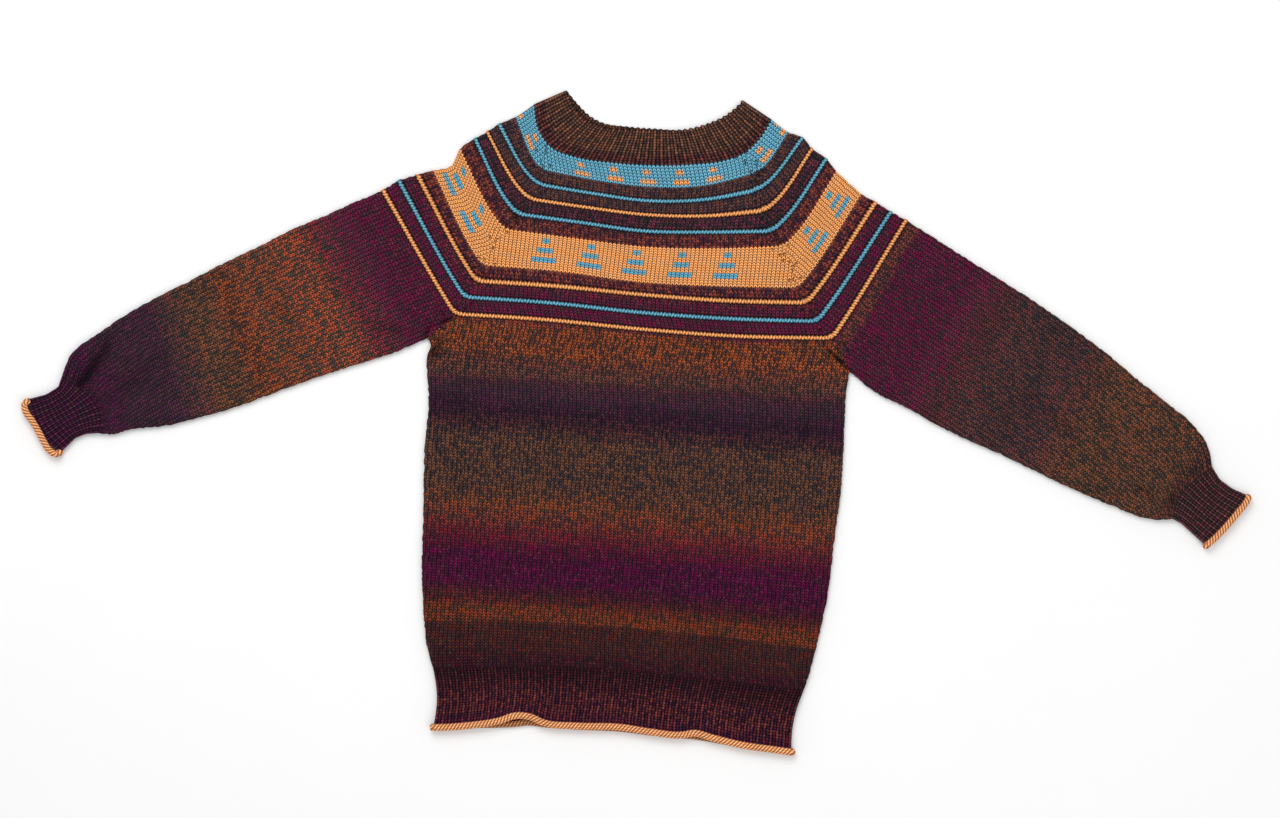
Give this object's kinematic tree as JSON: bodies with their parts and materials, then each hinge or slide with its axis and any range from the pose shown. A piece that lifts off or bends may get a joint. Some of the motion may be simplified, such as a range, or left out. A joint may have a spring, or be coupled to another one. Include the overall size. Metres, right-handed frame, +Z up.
{
  "type": "raglan sweater",
  "caption": "Knitted raglan sweater laid flat with spread sleeves, ribbed neck, hem and cuffs, rolled edges, and a yoke with corded stripes and bands of trees.",
  "frame": {"origin": "middle of the garment's box, on the surface that it lies on", "axes": "+X to the right of the laid garment, across its spread sleeves; +Y from the hem towards the neck; +Z up out of the front"},
  "size_m": [1.468, 0.7918, 0.0119],
  "materials": {
    "yoke_and_body_knit": "stockinette in charcoal, rust and purple marled wool, with light blue and light orange bands and cords",
    "sleeve_knit": "stockinette in marled wool that carries on the yoke's bands and cords",
    "neck_rib": "single rib in brown and charcoal marled wool",
    "dark_rib": "single rib in charcoal and purple marled wool",
    "rolled_edge": "rolled stockinette edge in light orange wool"
  },
  "bodies": {
    "root": {"front": "yoke_and_body_knit", "back": "yoke_and_body_knit", "sleeve_left": "sleeve_knit", "sleeve_right": "sleeve_knit", "neckband": "neck_rib", "hem_rib_front": "dark_rib", "hem_rib_back": "dark_rib", "cuff_left": "dark_rib", "cuff_right": "dark_rib", "hem_roll": "rolled_edge", "cuff_roll_left": "rolled_edge", "cuff_roll_right": "rolled_edge"}
  },
  "joints": []
}
